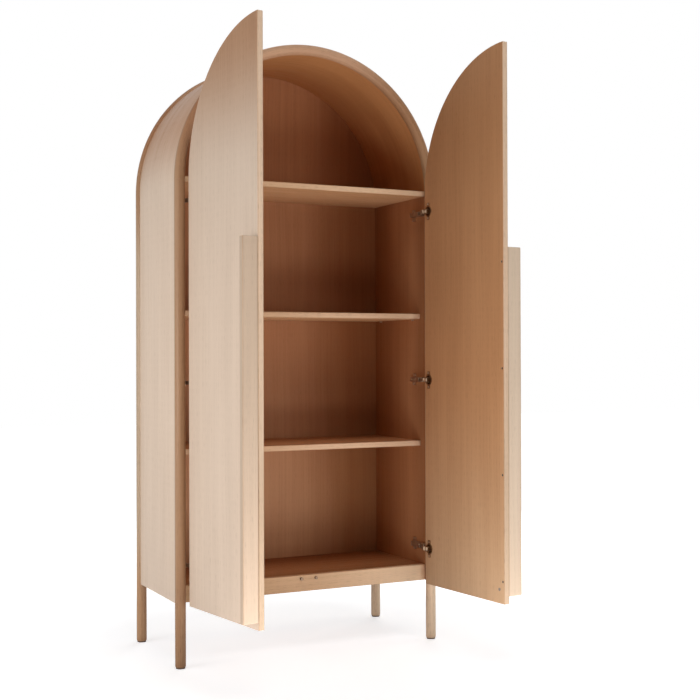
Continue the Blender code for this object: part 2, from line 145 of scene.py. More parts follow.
def oak_grain_group():
    """Sawn oak under a satin lacquer, from places in metres along and across the grain: leaves of veneer with
    their own tone, broad soft bands and clouds, narrow streaks and fibres drawn out along the grain, short
    dark pores that gather in the streaks, a few pale flecks, and a darker, redder tone along the eased
    edges, which is partly wear and partly painted shade."""
    group, given, result = opened_group(
        "oak_grain",
        (
            ("Grain", "Vector"), ("Pale", "Color"), ("Deep", "Color"), ("Figure", "Float"),
            ("Streaks", "Float"), ("Pores", "Float"), ("Wear And Shade", "Float"),
        ),
        (("Color", "Color"), ("Roughness", "Float"), ("Height", "Float")),
    )

    def sum_of(operation, first, second):
        return wired(group, "ShaderNodeMath", {0: first, 1: second}, operation=operation).outputs[0]

    def mixed(share, first, second, **settings):
        inputs = {0: share, 6: first, 7: second}
        return wired(group, "ShaderNodeMix", inputs, data_type="RGBA", **settings).outputs[2]

    def drawn(place, along, across, detail, low, high):
        """Noise with so many cells per metre along and across the grain, as a mask between two levels."""
        stretched = {0: place, 1: (along, across, 1.0)}
        scaled = wired(group, "ShaderNodeVectorMath", stretched, operation="MULTIPLY")
        cells = wired(
            group,
            "ShaderNodeTexNoise",
            {"Vector": scaled.outputs[0], "Scale": 1.0, "Detail": detail, "Roughness": 0.55},
            noise_dimensions="2D",
        )
        levels = {"Value": cells.outputs[0], "From Min": low, "From Max": high}
        return wired(group, "ShaderNodeMapRange", levels, interpolation_type="SMOOTHSTEP").outputs[0]

    pore_brown = (0.10, 0.05, 0.025, 1.0)
    # The darker, redder tone of the eased edges: partly wear, partly painted shade in the grooves and joints
    # between parts.
    worn_and_shaded_brown = (0.62, 0.47, 0.36, 1.0)
    parts = wired(group, "ShaderNodeSeparateXYZ", {0: given["Grain"]}).outputs
    sway = sum_of("MULTIPLY", drawn(given["Grain"], 1.1, 4.0, 1.0, 0.2, 0.8), 0.012)
    across = sum_of("ADD", parts[1], sway)
    place = wired(group, "ShaderNodeCombineXYZ", {0: parts[0], 1: across}).outputs[0]
    leaf_width = 0.137
    leaf_number = sum_of("FLOOR", sum_of("DIVIDE", across, leaf_width), 0.0)
    leaf = wired(group, "ShaderNodeTexWhiteNoise", {"W": leaf_number}, noise_dimensions="1D").outputs[0]
    clouds = drawn(place, 2.2, 9.0, 2.0, 0.25, 0.75)
    bands = drawn(place, 0.45, 24.0, 3.0, 0.28, 0.72)
    streaks = drawn(place, 1.7, 150.0, 3.0, 0.30, 0.70)
    fibres = drawn(place, 9.0, 800.0, 2.0, 0.25, 0.75)
    pores = sum_of("MULTIPLY", drawn(place, 42.0, 1500.0, 0.0, 0.58, 0.70), streaks)
    flecks = drawn(place, 16.0, 240.0, 1.0, 0.68, 0.78)

    fine = sum_of("ADD", sum_of("MULTIPLY", streaks, 0.40), sum_of("MULTIPLY", fibres, 0.25))
    fine = sum_of("SUBTRACT", fine, sum_of("MULTIPLY", flecks, 0.18))
    tone = sum_of("MULTIPLY", leaf, 0.26)
    tone = sum_of("ADD", tone, sum_of("MULTIPLY", bands, 0.34))
    tone = sum_of("ADD", tone, sum_of("MULTIPLY", clouds, 0.30))
    tone = sum_of("ADD", tone, sum_of("MULTIPLY", fine, given["Streaks"]))
    tone = sum_of("MULTIPLY", tone, given["Figure"])
    sawn = mixed(tone, given["Pale"], given["Deep"])
    pored = sum_of("MULTIPLY", pores, sum_of("MULTIPLY", given["Pores"], 0.5))
    porous = mixed(pored, sawn, pore_brown)
    wear_and_shade_share = sum_of("MULTIPLY", given["Wear And Shade"], sum_of("ADD", 0.35, sum_of("MULTIPLY", fibres, 0.35)))
    worn_and_shaded = mixed(wear_and_shade_share, porous, worn_and_shaded_brown, blend_type="MULTIPLY")
    group.links.new(worn_and_shaded, result["Color"])
    rough = sum_of("ADD", 0.40, sum_of("MULTIPLY", streaks, 0.10))
    rough = sum_of("ADD", rough, sum_of("MULTIPLY", pores, 0.25))
    rough = sum_of("SUBTRACT", rough, sum_of("MULTIPLY", given["Wear And Shade"], 0.06))
    group.links.new(rough, result["Roughness"])
    height = sum_of("SUBTRACT", sum_of("MULTIPLY", fibres, 0.35), pores)
    height = sum_of("ADD", height, sum_of("MULTIPLY", streaks, 0.25))
    group.links.new(height, result["Height"])
    return group


oak_grain = oak_grain_group()


def painted_light_group():
    """Painted light or shade between two places: the colour is multiplied by a tint, below one for shade and
    above one for light, with a share that rises from nothing at the first place to all at the second,
    slowly at both ends."""
    group, given, result = opened_group(
        "painted_light_and_shade",
        (("Color", "Color"), ("Place", "Float"), ("Start", "Float"), ("End", "Float"), ("Painted Tint", "Color")),
        (("Color", "Color"),),
    )
    levels = {"Value": given["Place"], "From Min": given["Start"], "From Max": given["End"]}
    turning = wired(group, "ShaderNodeMapRange", levels, interpolation_type="SMOOTHSTEP").outputs[0]
    painted_inputs = {0: turning, 6: given["Color"], 7: given["Painted Tint"]}
    mixed = wired(group, "ShaderNodeMix", painted_inputs, data_type="RGBA", blend_type="MULTIPLY").outputs[2]
    group.links.new(mixed, result["Color"])
    return group


painted_light_and_shade = painted_light_group()


def oak_finish(name, pale, deep, light_and_shade=(), figure=0.8, streaks=0.7, pores=0.5, gloss=0.25):
    """A satin oak surface between a pale and a deep colour, with its grain on the piece's own map. Each item
    of the painted light and shade gives a direction (0 sideways, 1 in depth, 2 in height), two places and
    the tint of painted light or shade that goes over it from the first to the second, by which its colour
    is multiplied. gloss says how much lacquer."""
    made = bpy.data.materials.new(name)
    made.use_nodes = True
    tree = made.node_tree
    shader = tree.nodes["Principled BSDF"]
    shader.inputs["Specular IOR Level"].default_value = gloss
    place = wired(tree, "ShaderNodeUVMap", {}, uv_map="grain")
    worn_and_shaded = wired(tree, "ShaderNodeAttribute", {}, attribute_name="wear_and_shade")
    spot = wired(tree, "ShaderNodeTexCoord", {}).outputs["Object"]
    stand = wired(tree, "ShaderNodeSeparateXYZ", {0: spot}).outputs
    given = {
        "Grain": place.outputs[0],
        "Pale": (*pale, 1.0),
        "Deep": (*deep, 1.0),
        "Figure": figure,
        "Streaks": streaks,
        "Pores": pores,
        "Wear And Shade": worn_and_shaded.outputs["Fac"],
    }
    grain = wired(tree, "ShaderNodeGroup", given, node_tree=oak_grain)
    colour = grain.outputs["Color"]
    # Each item paints light or shade on the piece by its place.
    for direction, start, end, painted_tint in light_and_shade:
        taken = {"Color": colour, "Place": stand[direction], "Start": start, "End": end}
        taken["Painted Tint"] = (*painted_tint, 1.0)
        colour = wired(tree, "ShaderNodeGroup", taken, node_tree=painted_light_and_shade).outputs["Color"]
    relief = {"Strength": 0.20, "Distance": 0.0004, "Height": grain.outputs["Height"]}
    bump = wired(tree, "ShaderNodeBump", relief)
    tree.links.new(colour, shader.inputs["Base Color"])
    tree.links.new(grain.outputs["Roughness"], shader.inputs["Roughness"])
    tree.links.new(bump.outputs[0], shader.inputs["Normal"])
    return made


turned_grain = {"streaks": 0.9, "pores": 0.6}
# Painted shade on the front left posts and both arch rails: darker towards the left, darker towards the right
# end of the rails, browner towards the crown, and darker towards the floor.
solid_painted_shade = (
    (0, -0.20, -0.42, (0.55, 0.45, 0.365)),
    (0, 0.08, 0.32, (0.70, 0.64, 0.54)),
    (2, 1.60, 1.80, (1.0, 0.86, 0.80)),
    (2, 0.40, 0.12, (0.92, 0.90, 0.87)),
)
oak_solid = oak_finish("oak_solid", (0.74, 0.52, 0.345), (0.62, 0.405, 0.255), solid_painted_shade, **turned_grain)
# The right posts are a paler copy of this oak for painted light, with painted shade towards their tops, where
# they meet the rails, and towards the floor.
pale_painted_shade = ((2, 1.20, 1.57, (0.64, 0.536, 0.422)), (2, 0.12, 0.45, (0.857, 0.857, 0.857)))
oak_right_posts_lit = oak_finish(
    "oak_solid_painted_light", (0.945, 0.725, 0.515), (0.805, 0.585, 0.40), pale_painted_shade, **turned_grain
)
# The rear left post is a darker copy for painted shade, with more painted shade towards the floor and towards
# its top.
grey_painted_shade = ((2, 0.45, 0.15, (0.98, 0.78, 0.62)), (2, 1.30, 1.57, (0.783, 0.608, 0.475)))
oak_rear_post_shaded = oak_finish(
    "oak_solid_rear_painted_shade", (0.52, 0.385, 0.265), (0.432, 0.30, 0.195), grey_painted_shade, **turned_grain
)


def felt_finish(name, colour, worn):
    """Pressed felt: two dark tones in clouds of a few millimetres, with a fine matted bump."""
    made = bpy.data.materials.new(name)
    made.use_nodes = True
    tree = made.node_tree
    shader = tree.nodes["Principled BSDF"]
    shader.inputs["Roughness"].default_value = 0.95
    shader.inputs["Specular IOR Level"].default_value = 0.1
    place = wired(tree, "ShaderNodeTexCoord", {}).outputs["Object"]
    clouds = wired(tree, "ShaderNodeTexNoise", {"Vector": place, "Scale": 260.0, "Detail": 3.0}).outputs[0]
    matted = wired(tree, "ShaderNodeTexNoise", {"Vector": place, "Scale": 2400.0, "Detail": 2.0}).outputs[0]
    tones = {0: clouds, 6: (*colour, 1.0), 7: (*worn, 1.0)}
    mixed = wired(tree, "ShaderNodeMix", tones, data_type="RGBA").outputs[2]
    bump = wired(tree, "ShaderNodeBump", {"Strength": 0.4, "Distance": 0.0003, "Height": matted}).outputs[0]
    tree.links.new(mixed, shader.inputs["Base Color"])
    tree.links.new(bump, shader.inputs["Normal"])
    return made


glide_felt = felt_finish("glide_felt", (0.150, 0.110, 0.085), (0.215, 0.165, 0.130))
glide_h, glide_inset, glide_ease = 0.004, 0.002, 0.0006
foot_ease, above_foot, below_top = 0.004, 0.03, 0.01
easing = np.linspace(0.0, math.pi / 2, 8)
arch_reach = (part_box("post_front_right")[1][0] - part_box("post_front_left")[0][0]) / 2
round_turns = np.linspace(0.0, 2 * math.pi, 49)
ring_turns = round_turns[:-1]
for end, leaf_place in (("front", 1.0), ("rear", 3.0)):
    for side, outward in (("left", -1), ("right", 1)):
        node = f"post_{end}_{side}"
        low, high = extent(node)
        middle = (low + high) / 2
        post_r = (high[0] - low[0]) / 2
        glide_r = post_r - glide_inset
        foot = low[2] + glide_h
        eased_h = foot + foot_ease * (1 - np.cos(easing))
        eased_r = post_r - foot_ease * (1 - np.sin(easing))
        heights = np.r_[low[2], low[2] + glide_ease, foot, eased_h, above_foot, high[2] - below_top, high[2]]
        radii = np.r_[glide_r - glide_ease, glide_r, glide_r, eased_r, post_r, post_r, post_r]
        rings = np.stack(
            [
                middle[0] + outward * radii[:, None] * np.cos(ring_turns),
                middle[1] + radii[:, None] * np.sin(ring_turns),
                np.repeat(heights[:, None], len(ring_turns), axis=1),
            ],
            axis=-1,
        )
        run = heights if side == "left" else 2 * high[2] + math.pi * (arch_reach - post_r) - heights
        along = np.repeat(run[:, None], len(round_turns), axis=1)
        across = np.repeat(leaf_place + post_r * round_turns[None], len(heights), axis=0)
        # The eased foot takes the same darker tone as other eased edges: partly wear, partly painted shade.
        darkened_foot = np.r_[0, 0, 1, 0.4 + 0.6 * np.cos(easing), 0, 0, 0]
        edge_darkening = np.repeat(darkened_foot[:, None], len(ring_turns), axis=1)
        of_felt = (np.arange(len(heights) - 1) < 2).astype(int)[:, None]
        ends = rings[[0, -1]][..., :2] + leaf_place
        grain = strips(np.stack([along, across], -1))
        wood = oak_right_posts_lit if side == "right" else oak_solid if end == "front" else oak_rear_post_shaded
        post = skin(f"{node}_turned", rings, grain, ends, [wood, glide_felt], of_felt, (1, 0), edge_darkening)
        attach(post, "carcass")
        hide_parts(node)


# Arch rails.
# Two round rails of the same oak, steam bent to a half circle, that stand on the posts without a step.
# The grain runs round the bend. The posts' groove, which the real rails carry on along their inside, is not
# cut here either.
arch_bends = np.linspace(math.pi, 0.0, 145)[:, None]
short_of_cad = 0.0001
for end, leaf_place in (("front", 1.0), ("rear", 3.0)):
    node = f"arch_{end}"
    left_low, left_high = extent(f"post_{end}_left")
    right_high = extent(f"post_{end}_right")[1]
    spring_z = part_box(node)[0][2]
    centre_x = (left_low[0] + right_high[0]) / 2
    rail_y = (left_low[1] + left_high[1]) / 2
    rail_r = (left_high[0] - left_low[0]) / 2
    bend_r = (right_high[0] - left_low[0]) / 2 - rail_r - short_of_cad
    reach = bend_r + rail_r * np.cos(ring_turns)[None]
    rings = np.stack(
        [
            centre_x + reach * np.cos(arch_bends),
            np.repeat(rail_y + rail_r * np.sin(ring_turns)[None], len(arch_bends), axis=0),
            spring_z + reach * np.sin(arch_bends),
        ],
        axis=-1,
    )
    along = np.repeat(spring_z + bend_r * (math.pi - arch_bends), len(round_turns), axis=1)
    across = np.repeat(leaf_place + rail_r * round_turns[None], len(arch_bends), axis=0)
    ends = rings[[0, -1]][..., :2] + leaf_place
    # The rails take the front left posts' oak, with its painted shade.
    rail = skin(f"{node}_bent", rings, strips(np.stack([along, across], -1)), ends, [oak_solid])
    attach(rail, "carcass")
    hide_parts(node)


# Side panels.
# Flat boards of veneered ply, 16 mm thick, whose edges run into the posts, where the real ones are let into
# grooves.
# The pale show veneer outside runs up one side, over the arch and down the other. Inside, the oak is a
# darker, browner copy for painted shade.


def eased_corners(corners, radius, steps=4):
    """Each square corner of an outline, rounded by a quarter circle from its one side to the next."""
    corners = np.asarray(corners, float)
    onward = np.roll(corners, -1, axis=0) - corners
    onward /= np.linalg.norm(onward, axis=1, keepdims=True)
    inward = np.roll(onward, 1, axis=0)
    turn = np.linspace(0.0, math.pi / 2, steps + 1)[None, :, None]
    out, into = onward[:, None], inward[:, None]
    points = corners[:, None] + radius * (out * (1 - np.cos(turn)) - into * (1 - np.sin(turn)))
    return points.reshape(-1, 2)


def square_outline(low, high, across, up, radius):
    """The outline of a box in two of its directions, with its corners rounded."""
    left, right, bottom, top = low[across], high[across], low[up], high[up]
    return eased_corners([(left, bottom), (right, bottom), (right, top), (left, top)], radius)


def board(name, outline, low, high, directions, ease, finishes, grain_side, leaf_place):
    """A board with eased edges. Its outline is carried through its thickness: drawn in along each side's
    normal by ease times (1 - sin t) while it goes down by ease times (1 - cos t), a quarter circle at either
    face. directions holds the origin and the way of the outline's two sides and of the thickness. The faces
    have their grain along one side of the outline, and the edge strip has its own, round the outline."""
    way = np.roll(outline, -1, axis=0) - outline
    lengths = np.linalg.norm(way, axis=1)
    way /= lengths[:, None]
    turned = np.cross(outline, np.roll(outline, -1, axis=0)).sum()
    normal = np.sign(turned) * np.stack([-way[:, 1], way[:, 0]], axis=1)
    before = np.roll(normal, 1, axis=0)
    mitre = (normal + before) / (1 + np.sum(normal * before, axis=1, keepdims=True))
    bend = np.linspace(0.0, math.pi / 2, 5)
    flat_from, edge_from, least_darkened, edge_leaf = 1.6 * ease, 3.0 * ease, 0.0005, 0.7
    inset = np.r_[flat_from, ease * (1 - np.sin(bend)), 0.0]
    depth = np.r_[0.0, ease * (1 - np.cos(bend)), edge_from]
    # The eased edges take a darker tone, strongest halfway round their bend: partly wear, partly painted
    # shade.
    edge_darkening = np.r_[0.0, 0.5 + 0.5 * np.sin(2 * bend), 0.0] * (ease > least_darkened)
    insets = np.r_[inset, inset[::-1]]
    depths = np.r_[low + depth, (high - depth)[::-1]]
    flat = outline[None] + insets[:, None, None] * mitre[None]
    origin, first, second, third = np.asarray(directions, float)
    rings = origin + flat[..., :1] * first + flat[..., 1:] * second + depths[:, None, None] * third

    closed = np.concatenate([flat, flat[:, :1]], axis=1)
    on_face = np.stack([closed[..., grain_side], closed[..., 1 - grain_side]], axis=-1) + leaf_place
    round_edge = np.repeat(np.r_[0.0, np.cumsum(lengths)][None], len(depths), axis=0) + leaf_place
    through = np.repeat(depths[:, None], closed.shape[1], axis=1) + leaf_place + edge_leaf
    uv = strips(np.stack([round_edge, through], axis=-1))
    uv[0], uv[-1] = on_face[:2], on_face[-2:]
    strip_finish = np.ones((len(depths) - 1, 1), int)
    strip_finish[0], strip_finish[-1] = 0, 2
    ends = on_face[0, :-1], on_face[-1, :-1]
    edge_darkenings = np.repeat(np.r_[edge_darkening, edge_darkening[::-1]][:, None], len(outline), axis=1)
    return skin(name, rings, uv, ends, finishes, strip_finish, (0, 2), edge_darkenings)


show_grain = {"figure": 0.7, "streaks": 0.25, "pores": 0.3}
# Painted shade: the outer veneer turns darker and browner over the arch, from the spring line towards the
# crown.
shell_painted_shade = [(2, 1.55, 1.79, (0.75, 0.54, 0.40))]
oak_shell = oak_finish("oak_shell", (0.745, 0.58, 0.445), (0.625, 0.47, 0.35), shell_painted_shade, **show_grain)
inner_grain = {"figure": 0.8, "streaks": 0.35, "pores": 0.3, "gloss": 0.10}
# The inside oak is a darker, browner copy for painted shade, darker still towards the back and towards the
# front.
inner_painted_shade = ((1, 0.12, 0.42, (0.62, 0.50, 0.38)), (1, 0.15, 0.03, (0.74, 0.69, 0.65)))
oak_inner = oak_finish("oak_inner", (0.60, 0.293, 0.141), (0.468, 0.213, 0.094), inner_painted_shade, **inner_grain)
upright = ((0, 0, 0), (0, 1, 0), (0, 0, 1), (1, 0, 0))
shell_leaf = 5.0
panel_corner, panel_ease = 0.0003, 0.0001
over_arch = math.pi * (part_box("top_panel")[1][0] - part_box("top_panel")[0][0]) / 2
for side in ("left", "right"):
    node = f"side_panel_{side}"
    low, high = extent(node)
    high[2] = spring_z
    outline = square_outline(low, high, 1, 2, panel_corner)
    faces = [oak_shell, oak_shell, oak_inner] if side == "left" else [oak_inner, oak_shell, oak_shell]
    panel = board(f"{node}_veneered", outline, low[0], high[0], upright, panel_ease, faces, 1, shell_leaf)
    if side == "right":
        layer = panel.data.uv_layers["grain"].data
        grain = np.empty(2 * len(layer))
        layer.foreach_get("uv", grain)
        grain[::2] = 2 * (shell_leaf + spring_z) + over_arch - grain[::2]
        layer.foreach_set("uv", grain)
    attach(panel, "carcass")
    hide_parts(node)


# Top panel.
# The same ply bent over the arch, its edges running into the two rails, where the real one is let into
# grooves, and jointed to the side panels.
# The show veneer carries on from the sides, with its grain round the bend.
low, high = extent("top_panel")
side_low, side_high = extent("side_panel_left")
skin_t = side_high[0] - side_low[0]
outer_r = (high[0] - low[0]) / 2
top_corner = 0.001
section = square_outline((outer_r - skin_t, low[1]), (outer_r, high[1]), 0, 1, top_corner)
rings = np.stack(
    [
        centre_x + section[None, :, 0] * np.cos(arch_bends),
        np.repeat(section[None, :, 1], len(arch_bends), axis=0),
        low[2] + section[None, :, 0] * np.sin(arch_bends),
    ],
    axis=-1,
)
closed = np.concatenate([section, section[:1]])
along = np.repeat(low[2] + outer_r * (math.pi - arch_bends), len(closed), axis=1) + shell_leaf
across = np.repeat(closed[None, :, 1], len(arch_bends), axis=0) + shell_leaf
from_inside = (section[:, 0] + np.roll(section[:, 0], -1)) / 2 < outer_r - 0.9 * skin_t
ends = rings[[0, -1]][..., :2] + shell_leaf
# The inside of the arch is a darker, browner copy of the oak for painted shade, darker still towards its
# feet.
vault_painted_shade = [(2, 1.86, 1.60, (0.70, 0.62, 0.55))]
oak_vault = oak_finish("oak_vault", (0.72, 0.355, 0.146), (0.57, 0.256, 0.095), vault_painted_shade, **inner_grain)
top = skin(
    "top_panel_veneered",
    rings,
    strips(np.stack([along, across], axis=-1)),
    ends,
    [oak_shell, oak_vault],
    quad_finish=from_inside.astype(int)[None],
)
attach(top, "carcass")
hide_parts("top_panel")


# Back board.
# A thin board with a round top, set between the side panels and up against the rear posts and rail.
# Its veneer is laid upright: inside, a darker, browner copy of the oak for painted shade, and a plain pale
# one behind.
low, high = extent("back_panel")
back_corner, back_ease, back_leaf = 0.0015, 0.0005, 9.0
back_r = (high[0] - low[0]) / 2
bends = np.linspace(0.0, math.pi, 97)
feet = square_outline(low, high, 0, 2, back_corner)[:10]
dome = np.stack([centre_x + back_r * np.cos(bends), spring_z + back_r * np.sin(bends)], axis=1)
# Painted shade growing upwards from near the bottom, painted light at the top of the arch, and painted shade
# towards the right.
back_light_and_shade = (
    (2, 0.45, 1.05, (0.91, 0.81, 0.755)),
    (2, 1.52, 1.64, (1.17, 1.15, 1.12)),
    (0, 0.05, 0.35, (0.62, 0.49, 0.37)),
)
dull_grain = {**inner_grain, "gloss": 0.08}
oak_back = oak_finish("oak_back", (0.618, 0.345, 0.188), (0.461, 0.227, 0.115), back_light_and_shade, **dull_grain)
facing = ((0, 0, 0), (1, 0, 0), (0, 0, 1), (0, 1, 0))
outline = np.concatenate([feet, dome])
oak_rear = oak_finish(
    "oak_rear", (0.74, 0.55, 0.395), (0.615, 0.44, 0.305), streaks=0.4, pores=0.3, gloss=0.15
)
faces = [oak_back, oak_back, oak_rear]
back = board("back_panel_veneered", outline, low[1], high[1], facing, back_ease, faces, 1, back_leaf)
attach(back, "carcass")
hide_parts("back_panel")


# Base.
# A deep front rail and a rear rail between the side panels carry the bottom board, glued and dowelled.
# The front rail and the board's faces are veneered, and the rail's edges are solid lipping.
level = ((0, 0, 0), (1, 0, 0), (0, 1, 0), (0, 0, 1))
base_corner, base_ease = 0.0018, 0.001
# The bottom board's top face is an even darker copy of the inside oak for painted shade.
oak_bottom = oak_finish(
    "oak_bottom", (0.475, 0.215, 0.096), (0.372, 0.157, 0.064), inner_painted_shade, **inner_grain
)
# The front rail is painted with shade towards its left end.
rail_painted_shade = ((0, 0.38, -0.05, (0.70, 0.61, 0.53)), (0, -0.05, -0.35, (0.84, 0.785, 0.70)))
oak_rail = oak_finish("oak_rail", (0.92, 0.665, 0.445), (0.835, 0.585, 0.38), rail_painted_shade, gloss=0.15)
for node, faces, leaf_place in (
    ("base_rail_front", [oak_inner, oak_rail, oak_rail], 11.0),
    ("base_rail_rear", [oak_inner, oak_inner, oak_inner], 12.0),
    ("bottom_board", [oak_inner, oak_inner, oak_bottom], 13.0),
):
    low, high = extent(node)
    outline = square_outline(low, high, 0, 1, base_corner)
    piece = board(f"{node}_veneered", outline, low[2], high[2], level, base_ease, faces, 0, leaf_place)
    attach(piece, "carcass")
    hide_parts(node)


# Shelves.
# A fixed shelf at the foot of the arch and two loose ones set further back, all of 19 mm ply.
# Their tops are the inside oak, painted with shade, their undersides a paler copy for painted light, with the
# grain across the cabinet, and the front edge is a pale lipping.
shelf_corner, shelf_ease = 0.0024, 0.0014
# The lipping is painted with shade towards the left and on the lower shelves.
front_painted_shade = ((0, 0.22, -0.30, (0.83, 0.75, 0.66)), (2, 1.50, 1.20, (0.90, 0.885, 0.90)))
oak_front = oak_finish("oak_front", (0.93, 0.655, 0.43), (0.85, 0.575, 0.365), front_painted_shade, gloss=0.15)
# The undersides are a paler copy of the inside oak for painted light.
oak_under = oak_finish("oak_shelf_under", (0.80, 0.47, 0.245), (0.66, 0.365, 0.18), **inner_grain)
faces = [oak_under, oak_front, oak_inner]
for node, leaf_place in (("shelf_top", 14.0), ("shelf_mid", 15.0), ("shelf_low", 16.0)):
    low, high = extent(node)
    outline = square_outline(low, high, 0, 1, shelf_corner)
    piece = board(f"{node}_lipped", outline, low[2], high[2], level, shelf_ease, faces, 0, leaf_place)
    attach(piece, "carcass")
    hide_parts(node)


# Shelf pins.
# Turned steel pins that push into holes in the side panels, four under each loose shelf.
# Each has a small groove where it leaves the panel and a nose rounded over.


def nodes_named(*starts):
    """The names of the CAD nodes that start with one of these words."""
    return [node for node in frame["nodes"] if node.startswith(starts)]


def plated_group():
    """Plating over steel: a colour that goes over to a worn one in clouds, fine brush lines, and a roughness
    that runs from one level to another with those lines."""
    group, given, result = opened_group(
        "plated_steel",
        (("Plating", "Color"), ("Worn", "Color"), ("Smooth", "Float"), ("Brushed", "Float")),
        (("Color", "Color"), ("Roughness", "Float"), ("Height", "Float")),
    )
    place = wired(group, "ShaderNodeTexCoord", {}).outputs["Object"]
    clouds = wired(group, "ShaderNodeTexNoise", {"Vector": place, "Scale": 90.0, "Detail": 3.0}).outputs[0]
    drawn = wired(group, "ShaderNodeMapping", {"Vector": place, "Scale": (1200.0, 1200.0, 90.0)}).outputs[0]
    lines = wired(group, "ShaderNodeTexNoise", {"Vector": drawn, "Scale": 1.0, "Detail": 2.0}).outputs[0]
    tones = {0: clouds, 6: given["Plating"], 7: given["Worn"]}
    mixed = wired(group, "ShaderNodeMix", tones, data_type="RGBA").outputs[2]
    levels = {"Value": lines, "To Min": given["Smooth"], "To Max": given["Brushed"]}
    rough = wired(group, "ShaderNodeMapRange", levels).outputs[0]
    group.links.new(mixed, result["Color"])
    group.links.new(rough, result["Roughness"])
    group.links.new(lines, result["Height"])
    return group


plated_steel = plated_group()


def steel_finish(name, colour, worn, roughness):
    """Plated steel of a colour and a worn colour, as smooth as the roughness says and a little duller where
    it is brushed."""
    duller = 0.15
    made = bpy.data.materials.new(name)
    made.use_nodes = True
    tree = made.node_tree
    shader = tree.nodes["Principled BSDF"]
    shader.inputs["Metallic"].default_value = 1.0
    given = {"Plating": (*colour, 1.0), "Worn": (*worn, 1.0)}
    given |= {"Smooth": roughness, "Brushed": roughness + duller}
    plating = wired(tree, "ShaderNodeGroup", given, node_tree=plated_steel).outputs
    bump = wired(tree, "ShaderNodeBump", {"Strength": 0.08, "Distance": 0.0002, "Height": plating["Height"]})
    tree.links.new(plating["Color"], shader.inputs["Base Color"])
    tree.links.new(plating["Roughness"], shader.inputs["Roughness"])
    tree.links.new(bump.outputs[0], shader.inputs["Normal"])
    return made


def rings_about(at, facing, radii, heights, turns):
    """Points round an axis: at each ring, the place at plus its height along the axis, and round that a
    circle of its radius. Heights may differ round a ring."""
    facing = np.asarray(facing, float)
    aside = np.cross(facing, (0.0, 0.0, 1.0)) if abs(facing[2]) < 0.9 else np.array([1.0, 0.0, 0.0])
    aside /= np.linalg.norm(aside)
    above = np.cross(facing, aside)
    radii = np.asarray(radii, float)[:, None, None]
    heights = np.broadcast_to(heights, (len(heights), len(turns)))[..., None]
    circle = np.cos(turns)[:, None] * aside + np.sin(turns)[:, None] * above
    return np.asarray(at, float) + radii * circle + heights * facing


def turned(name, profile, at, facing, finish):
    """A turned piece: each radius and height of the profile carried once round the axis."""
    radii, heights = np.array(profile).T
    rings = rings_about(at, facing, radii, heights[:, None], ring_turns)
    along = np.repeat(heights[:, None], len(round_turns), axis=1)
    uv = np.stack([along, radii[:, None] * round_turns[None]], axis=-1)
    return skin(name, rings, strips(uv), uv[[0, -1], :-1], [finish])


# The nickel is coloured brown, a painted reflection of the oak round it.
nickel_steel = steel_finish("nickel_steel", (0.62, 0.46, 0.33), (0.47, 0.34, 0.24), 0.36)
in_panel, pin_ease, groove_from, groove_to, groove_end, nose_r = 0.008, 0.0004, 0.0003, 0.0009, 0.0012, 0.001
nose = np.linspace(0.0, math.pi / 2, 6)[:-1]
for name in nodes_named("shelf_pin"):
    low, high = extent(name)
    inward = 1.0 if low[0] < centre_x else -1.0
    pin_r = (high[2] - low[2]) / 2
    neck_r = pin_r - pin_ease
    length = high[0] - low[0]
    profile = [(neck_r, 0.0), (pin_r, pin_ease), (pin_r, in_panel), (neck_r, in_panel + groove_from)]
    profile += [(neck_r, in_panel + groove_to), (pin_r, in_panel + groove_end)]
    profile += [(pin_r - nose_r * (1 - math.cos(t)), length - nose_r * (1 - math.sin(t))) for t in nose]
    start = (low[0] if inward > 0 else high[0], (low[1] + high[1]) / 2, (low[2] + high[2]) / 2)
    pin = turned(f"{name}_turned", profile, start, (inward, 0, 0), nickel_steel)
    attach(pin, "carcass")
    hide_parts(name)


# Doors.
# Two boards of 19 mm ply, each half of the arch, with the show veneer outside, kept a little darker than on
# the sides for painted shade, and inside a darker, browner copy of the oak for painted shade.
# An edging strip runs round each, and the inner face is bored for the hinge cups and the screw heads.
door_frames = {}
for side, inward in (("left", -1), ("right", 1)):
    hinge = next(joint for joint in frame["joints"] if joint["name"] == f"{side}_door_hinge")
    stands = -inward * math.radians(hinge["range_deg"][0])
    sideways = inward * np.array([math.cos(stands), math.sin(stands), 0.0])
    through = np.array([-math.sin(stands), math.cos(stands), 0.0])
    axis = np.array([*hinge["pos_m"][:2], 0.0])
    reach = abs(axis[0] - centre_x)
    door_frames[side] = (axis - reach * sideways, sideways, np.array([0.0, 0.0, 1.0]), through)


def on_door(node, side):
    """The extent of a CAD node on its door: from the middle line towards the hinge, upwards and inwards."""
    mesh = frame["nodes"][node].data
    points = np.empty(3 * len(mesh.vertices), np.float32)
    mesh.vertices.foreach_get("co", points)
    origin, *ways = door_frames[side]
    placed = (points.reshape(-1, 3).astype(float) - origin) @ np.array(ways).T
    return placed.min(axis=0), placed.max(axis=0)


def at_door(place, side):
    """The point in the room of a place on a door."""
    origin, *ways = door_frames[side]
    return origin + np.asarray(place) @ np.array(ways)


def bored(piece, plugs):
    """Takes the plugs out of a piece, once, and keeps what is left as its mesh. The plugs are thrown away. It
    is done on the bench, where the faces lie exactly flat, so that the cut leaves no slivers in them."""
    for plug in plugs:
        cut = piece.modifiers.new("bore", "BOOLEAN")
        cut.operation = "DIFFERENCE"
        cut.solver = "EXACT"
        cut.material_mode = "TRANSFER"
        cut.object = plug
    whole = piece.data
    graph = bpy.context.evaluated_depsgraph_get()
    piece.data = bpy.data.meshes.new_from_object(piece.evaluated_get(graph))
    piece.modifiers.clear()
    piece.data.set_sharp_from_angle(angle=sharp_edge)
    for mesh in [whole] + [plug.data for plug in plugs]:
        bpy.data.meshes.remove(mesh)
    piece.data.name = piece.name


